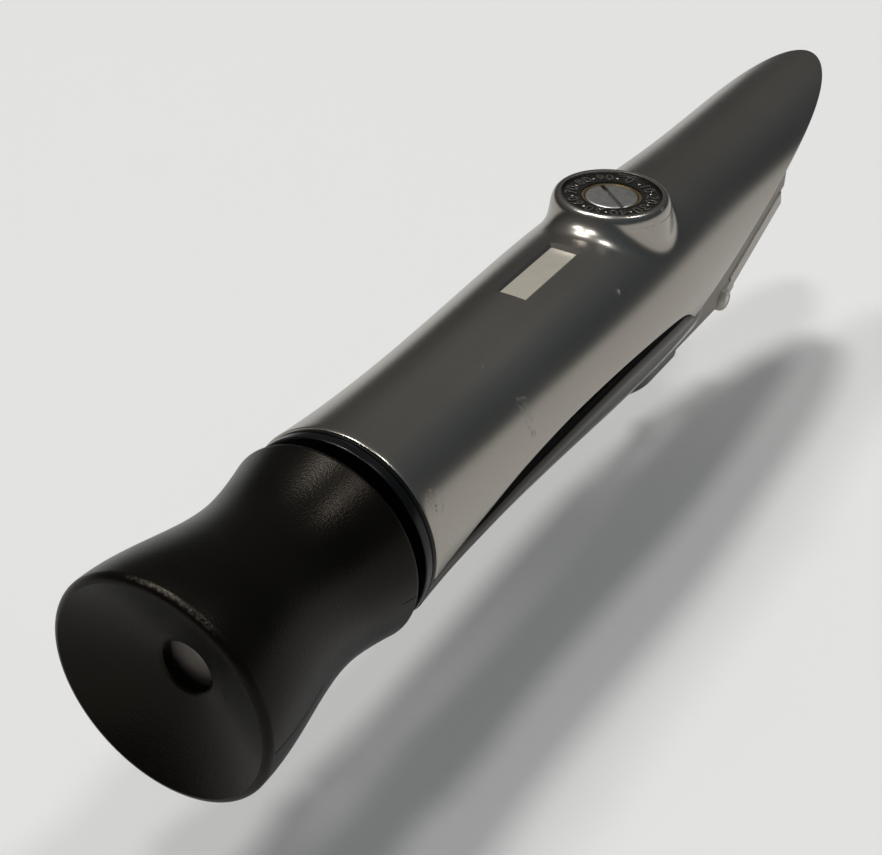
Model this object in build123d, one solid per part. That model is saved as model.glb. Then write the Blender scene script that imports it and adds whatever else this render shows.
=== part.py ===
from build123d import *
import math
import os

os.makedirs("parts", exist_ok=True)

# Handheld prism refractometer, in millimetres.
# It is drawn along its optical axis: Y runs from the eyecup (y = 0) to the nose,
# Z points up through the adjusting boss, X to the right.
# place() moves the finished pieces so that the origin lies under their middle.

# Overall sizes
length = 203.0
cup_r = 16.0
boss_top = 18.0

# General clearances
snug = 0.03
running = 0.05
slide_gap = 0.1

# Eyecup of black rubber
cup_length = 32.95
cup_rim_y = 1.2
cup_crest_r = 15.0
cup_waist_r = 13.25
cup_waist_y = 22.8
cup_front_r = 14.95
eye_hole_r = 3.63
eye_hole_y = 5.26
cup_web = 1.5
dish_sag = 0.5
rim_round = 0.29
cup_flare = 0.24

# Focusing ring bonded inside the eyecup
focus_ring_r = 11.6
focus_ring_wall = 1.0
focus_ring_back = 0.1
focus_ring_short = 0.5
ring_web = 1.3

# Ocular tube and its lenses
ocular_r = 9.0
ocular_bore_r = 7.6
ocular_flange_r = 9.8
ocular_flange_t = 1.0
ocular_back = 7.0
ocular_front = 30.0
ocular_lip_r = 5.2
ocular_lip_t = 0.8
clip_t = 0.6
clip_depth = 0.5
clip_height = 0.9
clip_open = 1.5
eye_lens_edge = 1.9
eye_lens_sag = 1.3
field_lens_edge = 2.0
field_lens_sag = 1.0
spacer_length = 9.5
spacer_wall = 0.9
retainer_length = 2.4
retainer_wall = 1.2
retainer_slot = 0.9
key_r = 0.9
key_depth = 0.8
key_y = 24.0
focus_in = 2.0
focus_out = 3.0

# Fixed barrel that the eyecup turns on
barrel_back = 13.2
cup_travel_gap = 2.65
barrel_flange_y = cup_length + cup_travel_gap
barrel_flange_r = 14.5
flange_edge = 0.5
barrel_spigot = 8.3
oring_wire = 0.4
oring_y = 16.5
reticle_r = 9.6
reticle_t = 1.5
reticle_seat = 4.0
reticle_ring_t = 1.5
reticle_open_r = 8.0

# Die-cast upper housing
flange_show = 2.1
body_y = barrel_flange_y + flange_show
rear_r = 14.65
waist_r = 14.05
waist_y = 66.0
swell_r = 15.2
neck_r = 14.15
neck_y = 146.0
nose_r = 14.05
slim_r = 14.0
slim_y = 175.0
bore_r = 12.4
nose_wall = 1.8
rear_edge = 0.4
arch_end_z = -3.3
arch_top_z = 0.8
arch_top_y = 77.0
corner_y = 118.5
corner_z = -2.5

# Adjusting boss
boss_y = 114.2
boss_r = 9.45
boss_root_r = 10.8
boss_root_z = 8.0
boss_blend = 3.0
boss_edge = 0.9
badge_r = 8.05
badge_recess = 1.0
badge_t = 0.6
badge_margin = 0.1
bush_r = 5.15
bush_rise = 0.5
bush_web = 1.2
bush_depth = 4.2
plate_width = 4.7
plate_length = 16.6
plate_y = 90.1
plate_floor_z = 13.5
plate_t = 0.4
plate_gap = 0.1
plate_corner = 0.5

# Adjusting screw
head_r = 4.3
head_t = 2.7
head_drop = 0.2
slot_width = 0.9
slot_depth = 0.9
slot_turn = 49.1
neck_screw_r = 2.0
thread_r = 1.7
thread_engaged = 2.6
neck_spare = 0.4
screw_oring_wire = 0.42
screw_clip_r = 3.2
screw_clip_t = 0.6
screw_clip_depth = 0.4
screw_clip_open = 1.2

# Objective carriage and the chassis it slides in
chassis_back = 104.6
chassis_front = 122.6
window_half = 8.5
window_length = 9.0
window_floor_z = -7.6
light_r = 6.0
carrier_top_z = 7.4
carrier_bottom_z = -6.4
carrier_edge = 0.6
nut_r = 3.0
nut_top_z = 9.6
nut_floor_z = 5.9
lens_r = 5.0
lens_lip = 0.6
lens_lip_t = 2.0
lens_edge = 2.6
lens_sag = 0.9
lens_ring_t = 1.2
lens_ring_wall = 0.8
pin_r = 1.0
pin_x = 6.9
pin_seat = 1.6
pin_top_z = 8.6
baffle_wall = 0.9
baffle_r = 10.6

# Lower cover with its finger rest
rest_start = 102.5
rest_half = 10.9
rest_bottom_z = -15.4
rest_root_z = -8.0
rest_edge = 3.2
cover_screw_inset = 4.8
cover_screw_y = body_y + cover_screw_inset
cover_screw_z = -14.3
cover_screw_length = 4.2

# Prism housing, prism and daylight plate
block_half = 10.2
block_bottom_z = -13.9
block_top_z = 7.5
block_edge = 1.0
hinge_y = 145.2
hinge_z = -12.9
knuckle_r = 2.3
knuckle_half = 7.2
knuckle_gap = 0.3
hinge_pin_r = 0.9
lid_angle = 21.8
lid_half = 10.4
lid_reach = 26.9
lid_start = 2.9
lid_t = 3.2
lid_outer = 0.5
lid_gap = 0.1
lid_corner = 1.2
lid_edge = 0.7
lid_arm_t = 1.9
lid_ear_out = 0.5
lid_ear_round = 1.2
lid_rim = 2.0
lid_pocket = 0.3
prism_half = 6.0
prism_back = 148.5
prism_length = 19.0
prism_slope_run = 7.0
prism_wall = 2.5
prism_reach = prism_back + prism_length
prism_shoulder = prism_reach - prism_slope_run
block_front = prism_reach + prism_wall
gasket_width = 1.2
gasket_t = 1.5
prism_light_r = 5.0
clamp_half = 5.6
clamp_overhang = 5.1
clamp_screw_inset = 2.2
clamp_screw_ahead = 5.3
clamp_t = 1.2
clamp_corner = 1.0
clamp_back = prism_back - clamp_overhang
clamp_screw_back = clamp_back + clamp_screw_inset
clamp_screw_front = prism_shoulder + clamp_screw_ahead
clamp_front = clamp_screw_front + clamp_screw_inset
post_x = 7.6
post_y = 128.0
post_r = 2.3
post_sunk = 0.8
post_wall = 1.2
post_thread = 1.2

# Screws: head radius, shank radius, head height
small_screw = (1.4, 0.8, 0.9)
cover_screw = (2.0, 1.0, 1.2)
clamp_screw = (1.3, 0.8, 0.8)
block_screw = (1.9, 1.1, 1.6)
boss_screw_length = 8.4
rest_screw_length = 4.4
clamp_thread = 1.8
drive_width = 0.35
drive_depth = 0.8


# Helpers

def rod(radius, y0, y1):
    """Round bar along the optical axis."""
    return Pos(0, (y0 + y1) / 2, 0) * Rot(90, 0, 0) * Cylinder(radius, y1 - y0)


def tube(outer, inner, y0, y1):
    return rod(outer, y0, y1) - rod(inner, y0 - 1, y1 + 1)


def post(x, y, radius, z0, z1):
    """Round bar standing along Z."""
    return Pos(x, y, (z0 + z1) / 2) * Cylinder(radius, z1 - z0)


def cross_rod(y, z, radius, x0, x1):
    """Round bar lying along X."""
    return Pos((x0 + x1) / 2, y, z) * Rot(0, 90, 0) * Cylinder(radius, x1 - x0)


def brick(x0, x1, y0, y1, z0, z1):
    centre = Pos((x0 + x1) / 2, (y0 + y1) / 2, (z0 + z1) / 2)
    return centre * Box(x1 - x0, y1 - y0, z1 - z0)


def turned(edges):
    """Solid of revolution about the optical axis from edges drawn as (radius, y)."""
    return revolve(make_face(edges), axis=Axis.Y)


def turned_outline(*points):
    return turned([Polyline(*points, close=True)])


def side_cut(edges, half_width):
    """Side-view outline in (y, z), carried half_width to either side."""
    return extrude(Plane.YZ * make_face(edges), amount=half_width, both=True)


def polygon_cut(half_width, *points):
    return side_cut([Polyline(*points, close=True)], half_width)


def flat_head_screw(x, y, z, length_below, size, up=False):
    """Countersunk screw: its head's flat face at z, its shank pointing away from the driver."""
    head, shank, height = size
    cone = Pos(0, 0, -height / 2) * Cone(shank, head, height)
    body = cone + Pos(0, 0, -length_below / 2) * Cylinder(shank, length_below)
    turn = Rot(180, 0, 0) if up else Rot(0, 0, 0)
    drive = Box(2 * head, drive_width * shank, drive_depth * height)
    return Pos(x, y, z) * turn * (body - drive)


def screw_hole(x, y, z, length_below, size, up=False):
    """Seat for flat_head_screw, with the head's countersink open to the outside."""
    head, shank, height = size
    cone = Pos(0, 0, -height / 2) * Cone(shank + snug, head + snug, height)
    open_end = Pos(0, 0, height / 2) * Cylinder(head + snug, height)
    shank_hole = Pos(0, 0, -(length_below + snug) / 2) * Cylinder(shank + snug, length_below + snug)
    turn = Rot(180, 0, 0) if up else Rot(0, 0, 0)
    return Pos(x, y, z) * turn * (cone + open_end + shank_hole)


def torus_ring(radius, wire, y):
    return Pos(0, y, 0) * Rot(90, 0, 0) * Torus(radius, wire)


def lens(radius, back, edge, sag):
    """Plano-convex lens, flat side at back, domed towards the nose."""
    top = back + edge + sag
    sphere_r = (radius ** 2 + sag ** 2) / (2 * sag)
    half = math.asin(radius / sphere_r) / 2
    middle = (sphere_r * math.sin(half), top - sphere_r * (1 - math.cos(half)))
    dome = ThreePointArc((radius, back + edge), middle, (0, top))
    rim = Polyline((0, top), (0, back), (radius, back), (radius, back + edge))
    return turned([dome, rim])


# Shared outlines

def body_outline():
    """Side profile of the housing: waisted grip, swell under the boss, slim nose."""
    start = (rear_r, body_y + rear_edge)
    grip = [(waist_r, waist_y), (swell_r, boss_y), (neck_r, neck_y)]
    side = Spline(start, *grip, (slim_r, slim_y), (nose_r, length))
    rest = Polyline((nose_r, length), (0, length), (0, body_y), (rear_r - rear_edge, body_y), start)
    return turned([side, rest])


def arch_edge():
    return ThreePointArc((body_y, arch_end_z), (arch_top_y, arch_top_z), (corner_y, corner_z))


def undercut_z(y):
    """Height of the slanting lower edge that runs from the corner up to the nose tip."""
    return corner_z + (nose_r - corner_z) * (y - corner_y) / (length - corner_y)


def above_edge():
    """Everything above the lower edge of the upper housing."""
    roof = 2 * cup_r
    start = body_y - 1
    rest = Polyline(
        (corner_y, corner_z), (length + 1, undercut_z(length + 1)), (length + 1, roof),
        (start, roof), (start, arch_end_z), (body_y, arch_end_z),
    )
    return side_cut([arch_edge(), rest], 2 * cup_r)


def below_arch():
    """Room of the lower cover, from the rear edge to the chassis front."""
    floor = -2 * cup_r
    rest = Polyline(
        (corner_y, corner_z), (chassis_front, undercut_z(chassis_front)),
        (chassis_front, floor), (body_y, floor), (body_y, arch_end_z),
    )
    return side_cut([arch_edge(), rest], 2 * cup_r)


# Eyepiece

cup_bore_back = eye_hole_y + cup_web
focus_ring_in = focus_ring_r - focus_ring_wall
barrel_r = focus_ring_in - slide_gap
web_back = ocular_back + ocular_flange_t + slide_gap
clip_back = web_back + ring_web + slide_gap
lens_back = ocular_back + ocular_lip_t
spacer_back = lens_back + eye_lens_edge
field_back = spacer_back + eye_lens_sag + spacer_length


def eyecup():
    dish = ThreePointArc(
        (eye_hole_r, eye_hole_y),
        ((eye_hole_r + cup_crest_r) / 2, eye_hole_y / 2 + dish_sag),
        (cup_crest_r, 0),
    )
    rim = ThreePointArc(
        (cup_crest_r, 0),
        (cup_r - rim_round * (cup_r - cup_crest_r), rim_round * cup_rim_y),
        (cup_r, cup_rim_y),
    )
    stations = [(cup_r, cup_rim_y), (cup_waist_r, cup_waist_y), (cup_front_r, cup_length)]
    side = Spline(*stations, tangents=[(0, 1), (cup_flare, 1)])
    inside = Polyline(
        (cup_front_r, cup_length), (focus_ring_r, cup_length), (focus_ring_r, cup_bore_back),
        (eye_hole_r, cup_bore_back), (eye_hole_r, eye_hole_y),
    )
    return turned([dish, rim, side, inside])


def focus_ring():
    back = cup_bore_back + focus_ring_back
    front = cup_length - focus_ring_short
    ring = tube(focus_ring_r - snug, focus_ring_in, back, front)
    web = tube(focus_ring_in + snug, ocular_r + running, web_back, web_back + ring_web)
    return ring + web


def ocular_tube():
    tube_body = rod(ocular_r, ocular_back, ocular_front)
    flange = rod(ocular_flange_r, ocular_back, ocular_back + ocular_flange_t)
    bore = rod(ocular_bore_r, lens_back, ocular_front + 1)
    lip = rod(ocular_lip_r, ocular_back - 1, lens_back + 1)
    groove = tube(ocular_r + 1, ocular_r - clip_depth, clip_back, clip_back + clip_t)
    margin = key_r + slide_gap
    slot_back = key_y - focus_in - margin
    slot_front = key_y + focus_out + margin
    slot = brick(-margin, margin, slot_back, slot_front, ocular_r - key_depth, ocular_r + 1)
    return tube_body + flange - bore - lip - groove - slot


def ocular_clip():
    ring = tube(ocular_r + clip_height, ocular_r - clip_depth + snug, clip_back, clip_back + clip_t)
    gap = brick(-clip_open, clip_open, clip_back - 1, clip_back + clip_t + 1, -2 * ocular_r, 0)
    return ring - gap


def eye_lens():
    return lens(ocular_bore_r - snug, lens_back, eye_lens_edge, eye_lens_sag)


def lens_spacer():
    outer = ocular_bore_r - snug
    return tube(outer, outer - spacer_wall, spacer_back, field_back) - eye_lens()


def field_lens():
    return lens(ocular_bore_r - snug, field_back, field_lens_edge, field_lens_sag)


def ocular_retainer():
    outer = ocular_bore_r - snug
    back = field_back + field_lens_edge
    ring = tube(outer, outer - retainer_wall, back, back + retainer_length)
    front = back + retainer_length
    half = retainer_slot / 2
    slots = brick(-half, half, front - retainer_slot, front + 1, -2 * outer, 2 * outer)
    return ring - slots - field_lens()


def key_screw():
    tip = ocular_r - key_depth + running
    return post(0, key_y, key_r, tip, barrel_r - running)


def focus_barrel():
    spigot_end = body_y + barrel_spigot
    inner = ocular_r + running
    body = turned_outline(
        (inner, barrel_back), (barrel_r, barrel_back), (barrel_r, barrel_flange_y),
        (barrel_flange_r - flange_edge, barrel_flange_y), (barrel_flange_r, barrel_flange_y + flange_edge),
        (barrel_flange_r, body_y), (bore_r - snug, body_y), (bore_r - snug, spigot_end),
        (reticle_r, spigot_end), (reticle_r, spigot_end - reticle_seat), (inner, spigot_end - reticle_seat),
    )
    groove_r = barrel_r - 2 * oring_wire + slide_gap
    groove = tube(barrel_r + 1, groove_r, oring_y - oring_wire, oring_y + oring_wire)
    key_hole = post(0, key_y, key_r + snug, inner - 1, barrel_r + 1)
    screw = screw_hole(0, cover_screw_y, cover_screw_z, cover_screw_length, cover_screw, up=True)
    return body - groove - key_hole - screw


def focus_oring():
    return torus_ring(barrel_r - oring_wire + slide_gap, oring_wire - snug, oring_y)


def reticle():
    back = body_y + barrel_spigot - reticle_seat
    return rod(reticle_r - snug, back, back + reticle_t)


def reticle_ring():
    back = body_y + barrel_spigot - reticle_seat + reticle_t
    return tube(reticle_r - snug, reticle_open_r, back, back + reticle_ring_t)


# Upper housing and boss

badge_floor = boss_top - badge_recess
bush_top = badge_floor + bush_rise
bush_bottom = bush_top - bush_depth


def upper_housing():
    height = boss_top - boss_root_z
    boss = Pos(0, boss_y, boss_root_z + height / 2) * Cone(boss_root_r, boss_r, height)
    boss = fillet(boss.edges().sort_by(Axis.Z)[-1], boss_edge)
    solid = body_outline() + boss
    seam = [
        e for e in solid.edges()
        if 0 < e.bounding_box().min.Z
        and e.bounding_box().max.Z < boss_top - boss_edge
        and e.bounding_box().max.Y < boss_y + boss_r + 1
        and e.bounding_box().min.Y > boss_y - boss_r - 1
        and e.bounding_box().size.X > 1
    ]
    solid = fillet(seam, boss_blend)
    nose_bore = rod(nose_r - nose_wall, block_front - 1, length)
    solid -= rod(bore_r, body_y - 1, block_front) + nose_bore
    solid = solid & above_edge()
    solid -= post(0, boss_y, badge_r, badge_floor, boss_top + 1)
    solid -= post(0, boss_y, bush_r, 0, boss_top + 1)
    for side in (-1, 1):
        solid -= screw_hole(0, boss_y + side * boss_screw_pitch, badge_floor, boss_screw_length, small_screw)
    solid -= plate_recess(plate_gap)
    for side in (-1, 1):
        solid += screw_post(side)
    return solid


def plate_recess(gap):
    half = plate_width / 2
    reach = plate_length / 2
    pocket = brick(-half, half, plate_y - reach, plate_y + reach, plate_floor_z, boss_top)
    return fillet(pocket.edges().filter_by(Axis.Z), plate_corner)


def number_plate():
    wide = plate_width - 2 * plate_gap
    long = plate_length - 2 * plate_gap
    plate = Pos(0, plate_y, plate_floor_z + plate_t / 2) * Box(wide, long, plate_t)
    return fillet(plate.edges().filter_by(Axis.Z), plate_corner - plate_gap)


def screw_post(side):
    """Tapped post that hangs from the roof for one prism housing screw."""
    roof = math.sqrt(bore_r ** 2 - post_x ** 2) + post_sunk
    column = post(side * post_x, post_y, post_r, block_top_z, roof)
    return column - post(side * post_x, post_y, block_screw[1] + snug, 0, roof - post_wall)


boss_screw_pitch = (badge_r + bush_r) / 2


def boss_screws():
    pair = [
        flat_head_screw(0, boss_y + side * boss_screw_pitch, badge_floor, boss_screw_length, small_screw)
        for side in (-1, 1)
    ]
    return Compound(children=pair)


def badge_ring():
    inner = bush_r + badge_margin
    outer = badge_r - snug
    return post(0, boss_y, outer, badge_floor, badge_floor + badge_t) - post(0, boss_y, inner, 0, boss_top)


def screw_bush():
    body = post(0, boss_y, bush_r - snug, bush_bottom, bush_top)
    body -= post(0, boss_y, head_r + running, bush_bottom + bush_web, bush_top + 1)
    return body - post(0, boss_y, neck_screw_r + running, 0, boss_top)


# Adjusting screw

head_top = bush_top - head_drop
head_bottom = head_top - head_t
screw_clip_top = bush_bottom - slide_gap
neck_end = screw_clip_top - screw_clip_t - neck_spare
thread_end = nut_top_z - thread_engaged
oring_z = head_bottom + 3 * screw_oring_wire


def adjusting_screw():
    body = post(0, boss_y, head_r, head_bottom, head_top)
    body += post(0, boss_y, neck_screw_r, neck_end, head_bottom)
    body += post(0, boss_y, thread_r, thread_end, neck_end)
    slot = Pos(0, boss_y, head_top) * Rot(0, 0, slot_turn) * Box(slot_width, 3 * head_r, 2 * slot_depth)
    groove_floor = head_r - 2 * screw_oring_wire + running
    groove = post(0, boss_y, head_r + 1, oring_z - screw_oring_wire, oring_z + screw_oring_wire)
    groove -= post(0, boss_y, groove_floor, 0, boss_top)
    clip_groove = post(0, boss_y, neck_screw_r + 1, screw_clip_top - screw_clip_t, screw_clip_top)
    clip_groove -= post(0, boss_y, neck_screw_r - screw_clip_depth, 0, boss_top)
    return body - slot - groove - clip_groove


def screw_oring():
    radius = head_r - screw_oring_wire + running
    return Pos(0, boss_y, oring_z) * Torus(radius - snug, screw_oring_wire - snug)


def screw_clip():
    ring = post(0, boss_y, screw_clip_r, screw_clip_top - screw_clip_t, screw_clip_top)
    ring -= post(0, boss_y, neck_screw_r - screw_clip_depth + snug, 0, boss_top)
    return ring - brick(0, 2 * screw_clip_r, boss_y - screw_clip_open, boss_y + screw_clip_open, 0, boss_top)


# Objective

window_back = boss_y - window_length / 2
window_front = boss_y + window_length / 2
carrier_half = window_half - slide_gap
carrier_back = window_back + slide_gap
carrier_front = window_front - slide_gap
lens_seat = carrier_back + lens_lip_t


def lens_chassis():
    body = rod(bore_r - snug, chassis_back, chassis_front)
    body -= brick(-window_half, window_half, window_back, window_front, window_floor_z, 2 * bore_r)
    body -= rod(light_r, chassis_back - 1, chassis_front + 1)
    for side in (-1, 1):
        body -= post(side * pin_x, boss_y, pin_r, window_floor_z - pin_seat, 0)
        body -= screw_hole(0, boss_y + side * boss_screw_pitch, badge_floor, boss_screw_length, small_screw)
    body -= screw_hole(0, boss_y, rest_bottom_z, rest_screw_length, cover_screw, up=True)
    return body


def guide_pins():
    pair = [post(side * pin_x, boss_y, pin_r, window_floor_z - pin_seat, pin_top_z) for side in (-1, 1)]
    return Compound(children=pair)


def lens_carrier():
    body = brick(-carrier_half, carrier_half, carrier_back, carrier_front, carrier_bottom_z, carrier_top_z)
    body = chamfer(body.edges().filter_by(Axis.Y), carrier_edge)
    body += post(0, boss_y, nut_r, carrier_top_z - 0.5, nut_top_z)
    body -= rod(lens_r, lens_seat, carrier_front + 1)
    body -= rod(lens_r - lens_lip, carrier_back - 1, lens_seat + 1)
    body -= post(0, boss_y, thread_r + running, nut_floor_z, nut_top_z + 1)
    for side in (-1, 1):
        body -= post(side * pin_x, boss_y, pin_r + running, carrier_bottom_z - 1, carrier_top_z + 1)
    return body


def objective_lens():
    return lens(lens_r - snug, lens_seat, lens_edge, lens_sag)


def objective_ring():
    outer = lens_r - snug
    back = lens_seat + lens_edge
    return tube(outer, outer - lens_ring_wall, back, back + lens_ring_t) - objective_lens()


def baffle_tube():
    return tube(baffle_r, baffle_r - baffle_wall, body_y + barrel_spigot, chassis_back)


# Lower cover

def finger_rest():
    """Pad with a round rear end, its lower edge rounded where the finger lies."""
    shoulder = rest_start + rest_half
    nose = ThreePointArc((rest_half, shoulder), (0, rest_start), (-rest_half, shoulder))
    sides = Polyline(
        (-rest_half, shoulder), (-rest_half, chassis_front),
        (rest_half, chassis_front), (rest_half, shoulder),
    )
    pad = extrude(Pos(0, 0, rest_bottom_z) * make_face([nose, sides]), rest_root_z - rest_bottom_z)
    low = pad.edges().group_by(Axis.Z)[0]
    return fillet(low.sort_by(Axis.Y)[:-1], rest_edge)


def lower_cover():
    shell = (body_outline() & below_arch()) + finger_rest()
    shell -= rod(bore_r, body_y - 1, chassis_front + 1)
    shell -= screw_hole(0, cover_screw_y, cover_screw_z, cover_screw_length, cover_screw, up=True)
    return shell - screw_hole(0, boss_y, rest_bottom_z, rest_screw_length, cover_screw, up=True)


def cover_screws():
    rear = flat_head_screw(0, cover_screw_y, cover_screw_z, cover_screw_length, cover_screw, up=True)
    front = flat_head_screw(0, boss_y, rest_bottom_z, rest_screw_length, cover_screw, up=True)
    return Compound(children=[rear, front])


# Prism end: the daylight plate is drawn level, then tilted about its hinge

seat_level = lid_t - lid_outer + lid_gap


def tilted(shape):
    return Pos(0, hinge_y, hinge_z) * Rot(lid_angle, 0, 0) * shape


def seat_z(y):
    """Height of the slanted seat at station y."""
    slope = math.radians(lid_angle)
    return hinge_z + math.tan(slope) * (y - hinge_y) + seat_level / math.cos(slope)


def prism_body(grow):
    return polygon_cut(
        prism_half + grow,
        (prism_back - grow, seat_z(prism_back - grow)), (prism_reach + grow, seat_z(prism_reach + grow)),
        (prism_shoulder + grow, block_top_z), (prism_back - grow, block_top_z),
    )


def prism():
    return prism_body(0)


def gasket_room():
    slope = math.radians(lid_angle)
    near = (prism_back - hinge_y) / math.cos(slope) + math.tan(slope) * seat_level - gasket_width
    far = (prism_reach - hinge_y) / math.cos(slope) + math.tan(slope) * seat_level + gasket_width
    half = prism_half + gasket_width
    return tilted(brick(-half, half, near, far, seat_level, seat_level + gasket_t))


def prism_gasket():
    return gasket_room() - prism_body(snug)


def prism_housing():
    body = brick(-block_half, block_half, chassis_front, block_front, block_bottom_z, block_top_z)
    body = chamfer(body.edges().filter_by(Axis.Y).group_by(Axis.Z)[-1], block_edge)
    body = fillet(body.edges().filter_by(Axis.Y).group_by(Axis.Z)[0], block_edge)
    body -= tilted(brick(-2 * block_half, 2 * block_half, 0, 2 * lid_reach, -2 * cup_r, seat_level))
    body += cross_rod(hinge_y, hinge_z, knuckle_r, -knuckle_half, knuckle_half)
    for side in (-1, 1):
        near = side * (knuckle_half + slide_gap)
        far = side * 2 * block_half
        body -= cross_rod(hinge_y, hinge_z, knuckle_r + knuckle_gap, min(near, far), max(near, far))
        body -= screw_hole(side * post_x, post_y, block_bottom_z, block_screw_length, block_screw, up=True)
    body -= cross_rod(hinge_y, hinge_z, hinge_pin_r, -2 * block_half, 2 * block_half)
    body -= rod(prism_light_r, chassis_front - 1, prism_back)
    body -= prism_body(snug)
    body -= gasket_room()
    for y in (clamp_screw_back, clamp_screw_front):
        body -= screw_hole(0, y, block_top_z + clamp_t, clamp_screw_length, clamp_screw)
    return body


block_screw_length = block_top_z - block_bottom_z + post_thread
clamp_screw_length = clamp_t + clamp_thread


def prism_housing_screws():
    pair = [
        flat_head_screw(side * post_x, post_y, block_bottom_z, block_screw_length, block_screw, up=True)
        for side in (-1, 1)
    ]
    return Compound(children=pair)


def prism_clamp():
    plate = brick(-clamp_half, clamp_half, clamp_back, clamp_front, block_top_z, block_top_z + clamp_t)
    plate = fillet(plate.edges().filter_by(Axis.Z), clamp_corner)
    for y in (clamp_screw_back, clamp_screw_front):
        plate -= screw_hole(0, y, block_top_z + clamp_t, clamp_screw_length, clamp_screw)
    return plate


def clamp_screws():
    pair = [
        flat_head_screw(0, y, block_top_z + clamp_t, clamp_screw_length, clamp_screw)
        for y in (clamp_screw_back, clamp_screw_front)
    ]
    return Compound(children=pair)


def hinge_pin():
    reach = lid_half + lid_ear_out - running
    return cross_rod(hinge_y, hinge_z, hinge_pin_r, -reach, reach)


def lid_ear(side):
    near = knuckle_half + 2 * slide_gap
    far = lid_half + lid_ear_out
    barrel = cross_rod(0, 0, knuckle_r, near, far)
    outer_edge = [e for e in barrel.edges().filter_by(GeomType.CIRCLE) if abs(e.center().X - far) < 0.01]
    barrel = fillet(outer_edge, lid_ear_round)
    arm = brick(near, lid_half, 0, lid_start + 1, -lid_outer, lid_arm_t)
    ear = barrel + arm - cross_rod(0, 0, hinge_pin_r + running, 0, 2 * far)
    return ear if side > 0 else mirror(ear, about=Plane.YZ)


def daylight_plate():
    inner_z = lid_t - lid_outer
    plate = brick(-lid_half, lid_half, lid_start, lid_reach, -lid_outer, inner_z)
    plate = fillet(plate.edges().filter_by(Axis.Z).group_by(Axis.Y)[-1], lid_corner)
    outer_face = plate.faces().sort_by(Axis.Z)[0]
    plate = fillet(outer_face.edges(), lid_edge)
    half = lid_half - lid_rim
    plate -= brick(-half, half, lid_start + lid_rim, lid_reach - lid_rim, inner_z - lid_pocket, inner_z + 1)
    for side in (-1, 1):
        plate += lid_ear(side)
    return tilted(plate)


# Placing and writing

def place(shape):
    return Pos(0, -length / 2, cup_r) * shape


pieces = {
    "eyecup": eyecup,
    "focus_ring": focus_ring,
    "ocular_tube": ocular_tube,
    "ocular_clip": ocular_clip,
    "eye_lens": eye_lens,
    "lens_spacer": lens_spacer,
    "field_lens": field_lens,
    "ocular_retainer": ocular_retainer,
    "key_screw": key_screw,
    "focus_barrel": focus_barrel,
    "focus_oring": focus_oring,
    "reticle": reticle,
    "reticle_ring": reticle_ring,
    "baffle_tube": baffle_tube,
    "upper_housing": upper_housing,
    "lower_cover": lower_cover,
    "cover_screws": cover_screws,
    "number_plate": number_plate,
    "badge_ring": badge_ring,
    "screw_bush": screw_bush,
    "boss_screws": boss_screws,
    "adjusting_screw": adjusting_screw,
    "screw_oring": screw_oring,
    "screw_clip": screw_clip,
    "lens_chassis": lens_chassis,
    "guide_pins": guide_pins,
    "lens_carrier": lens_carrier,
    "objective_lens": objective_lens,
    "objective_ring": objective_ring,
    "prism_housing": prism_housing,
    "prism_housing_screws": prism_housing_screws,
    "prism": prism,
    "prism_gasket": prism_gasket,
    "prism_clamp": prism_clamp,
    "clamp_screws": clamp_screws,
    "hinge_pin": hinge_pin,
    "daylight_plate": daylight_plate,
}

for name, make in pieces.items():
    export_step(place(make()), f"parts/{name}.step")
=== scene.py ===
import math

import bmesh
import bpy
import numpy as np
from bpy.props import FloatProperty, FloatVectorProperty, IntProperty, PointerProperty
from mathutils import Matrix, Vector


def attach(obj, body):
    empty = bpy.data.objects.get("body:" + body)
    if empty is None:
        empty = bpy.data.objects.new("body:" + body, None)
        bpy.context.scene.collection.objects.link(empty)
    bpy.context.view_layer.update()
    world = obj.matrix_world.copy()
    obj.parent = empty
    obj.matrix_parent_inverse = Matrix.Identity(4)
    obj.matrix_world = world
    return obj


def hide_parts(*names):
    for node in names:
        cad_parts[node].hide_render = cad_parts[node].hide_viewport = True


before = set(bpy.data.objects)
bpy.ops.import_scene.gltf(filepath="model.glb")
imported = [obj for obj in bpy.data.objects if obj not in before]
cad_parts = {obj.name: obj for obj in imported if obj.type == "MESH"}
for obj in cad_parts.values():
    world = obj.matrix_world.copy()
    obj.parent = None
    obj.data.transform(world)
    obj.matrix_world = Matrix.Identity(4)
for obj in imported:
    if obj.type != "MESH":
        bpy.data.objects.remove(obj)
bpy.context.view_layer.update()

bl_info = {
    "name": "Handheld Refractometer",
    "version": (1, 0, 0),
    "blender": (4, 5, 0),
    "location": "View3D > Sidebar > Refractometer",
    "description": "Dresses a packed handheld refractometer for rendering",
    "category": "Object",
}

MM = 0.001

# The instrument is drawn along its optical axis in millimetres: y runs from the
# eyecup to the nose, z up through the boss. at() moves a point into the frame.
LENGTH = 203.0
AXIS_HEIGHT = 16.0
REAR = 37.7
BORE = 12.4
BOSS_Y = 114.2
BOSS_TOP = 18.0
DIAL_SEAT = 17.0
DIAL_FACE = 17.46


def at(x, y, z):
    """A point in the frame, in metres, from its place on the instrument in mm."""
    return Vector((x * MM, (y - LENGTH / 2) * MM, (z + AXIS_HEIGHT) * MM))


# ---------------------------------------------------------------- shapes shared


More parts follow.
